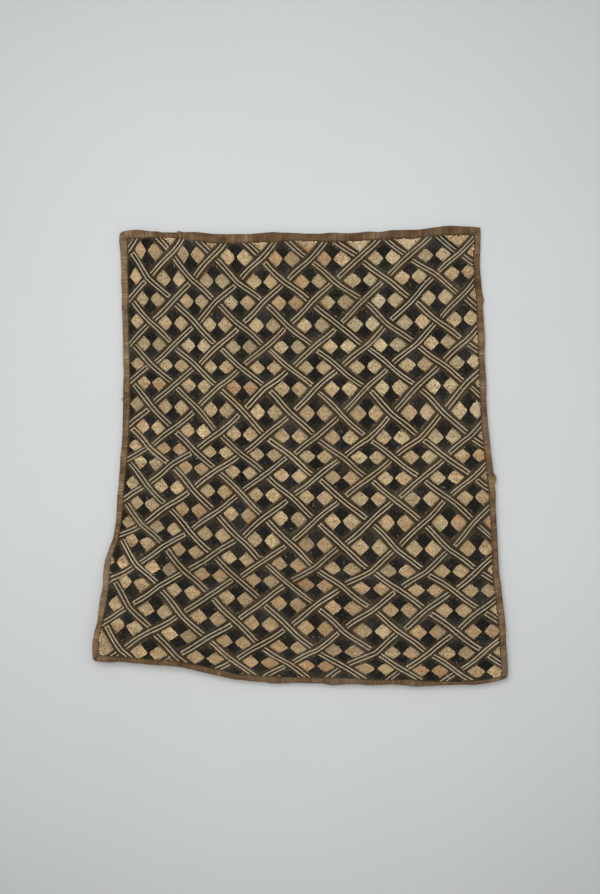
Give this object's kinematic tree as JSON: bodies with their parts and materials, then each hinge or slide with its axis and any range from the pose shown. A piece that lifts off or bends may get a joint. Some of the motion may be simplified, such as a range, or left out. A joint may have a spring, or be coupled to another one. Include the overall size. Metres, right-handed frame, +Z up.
{
  "type": "kuba raffia cloth",
  "caption": "Embroidered cut-pile raffia panel with folded raffia bindings, hanging by its top edge, interlaced strapwork with small diamonds.",
  "frame": {"origin": "on the wall plane, level with the middle of the cloth's top edge", "axes": "+Z up along the cloth's length, +X to the right of its face, +Y from the face into the wall"},
  "size_m": [0.559, 0.0165, 0.6214],
  "materials": {
    "embroidered_raffia": "cut raffia pile and stitched lines in cream, dark brown and black on a brown plain weave",
    "binding_raffia": "plain brown raffia strip folded over the edge, matt with ribs across its width"
  },
  "bodies": {
    "root": {"panel": "embroidered_raffia", "binding_left": "binding_raffia", "binding_right": "binding_raffia", "binding_bottom": "binding_raffia", "binding_top_short": "binding_raffia", "binding_top_long": "binding_raffia"}
  },
  "joints": []
}
